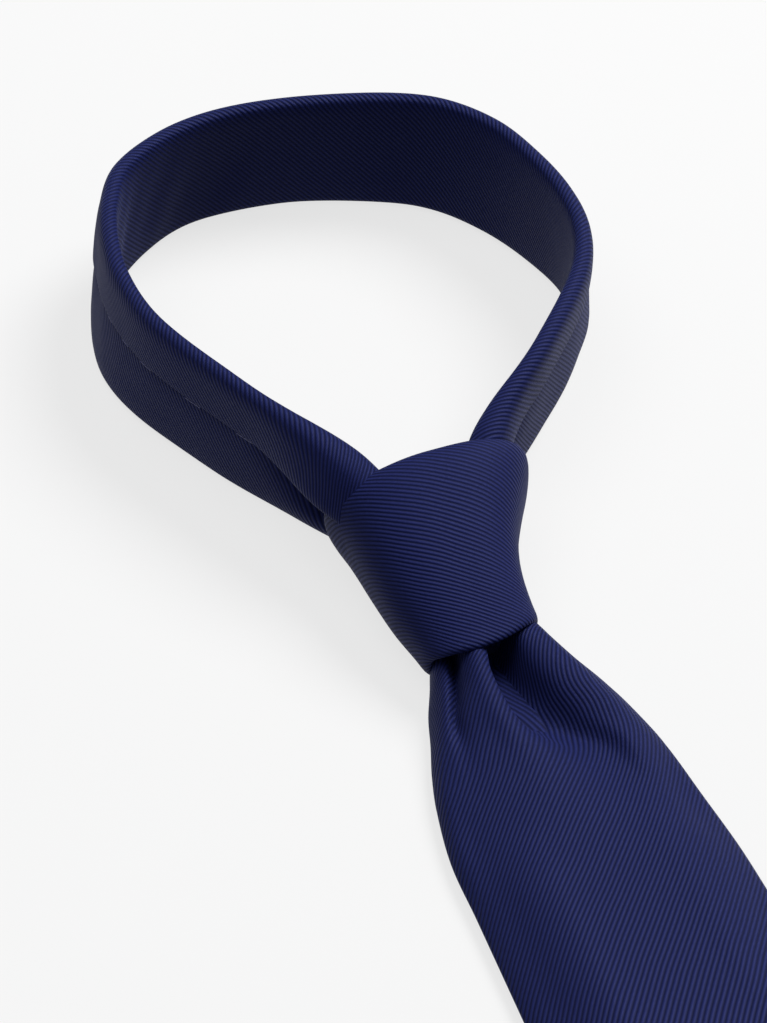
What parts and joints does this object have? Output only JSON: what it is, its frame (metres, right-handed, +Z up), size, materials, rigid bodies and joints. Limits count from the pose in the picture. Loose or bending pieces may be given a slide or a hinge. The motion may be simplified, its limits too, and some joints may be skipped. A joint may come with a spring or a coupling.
{
  "type": "necktie",
  "caption": "Navy silk twill necktie, tied in a four-in-hand knot and laid face up, its neck loop standing on edge; the knot slides, the blade lifts and the tail feeds through.",
  "frame": {"origin": "middle of the bounding box, on the table the tie lies on", "axes": "+Y from the point of the wide end towards the neck loop, +Z up through the face of the blade, +X to the right of the blade as seen with the point nearest"},
  "size_m": [0.1106, 0.6246, 0.0329],
  "materials": {
    "silk_twill": "dark navy silk, steep raised twill ribs, soft sheen",
    "interlining": "napped wool interlining, matt",
    "tipping": "smooth navy lining cloth",
    "thread": "navy sewing silk"
  },
  "bodies": {
    "neck_loop": {"left_leg_shell": "silk_twill", "left_leg_interlining": "interlining", "left_leg_slip_stitch": "thread", "neck_shell": "silk_twill", "neck_interlining": "interlining", "neck_slip_stitch": "thread", "right_leg_shell": "silk_twill", "right_leg_interlining": "interlining"},
    "knot": {"knot_front_wrap": "silk_twill", "knot_first_cross": "silk_twill", "knot_under_turn": "silk_twill", "knot_riser": "silk_twill", "knot_tail_pass": "silk_twill"},
    "blade": {"blade_shell": "silk_twill", "blade_interlining": "interlining", "blade_tipping": "tipping", "blade_slip_stitch": "thread", "blade_bar_tack": "thread", "keeper_loop": "silk_twill", "tail_top_run": "silk_twill"},
    "tail": {"tail_shell": "silk_twill", "tail_interlining": "interlining", "tail_tipping": "tipping", "tail_slip_stitch": "thread", "tail_bar_tack": "thread"}
  },
  "joints": [
    {"name": "knot_slide", "type": "slide", "parent": "neck_loop", "child": "knot", "axis": [0, -1, 0], "range_m": [0, 0.05], "deforming": ["left_leg_shell", "left_leg_interlining", "left_leg_slip_stitch", "right_leg_shell", "right_leg_interlining"]},
    {"name": "blade_lift", "type": "hinge", "parent": "knot", "child": "blade", "pos_m": [-0.009, 0.14506, 0.0168], "axis": [-1, 0, 0], "range_deg": [0, 75]},
    {"name": "tail_feed", "type": "slide", "parent": "blade", "child": "tail", "axis": [0, 1, 0], "range_m": [0, 0.1], "deforming": ["tail_shell", "tail_interlining", "tail_slip_stitch"]}
  ],
  "couplings": [
    {"joint": "tail_feed", "follows": "knot_slide", "ratio": 2}
  ]
}
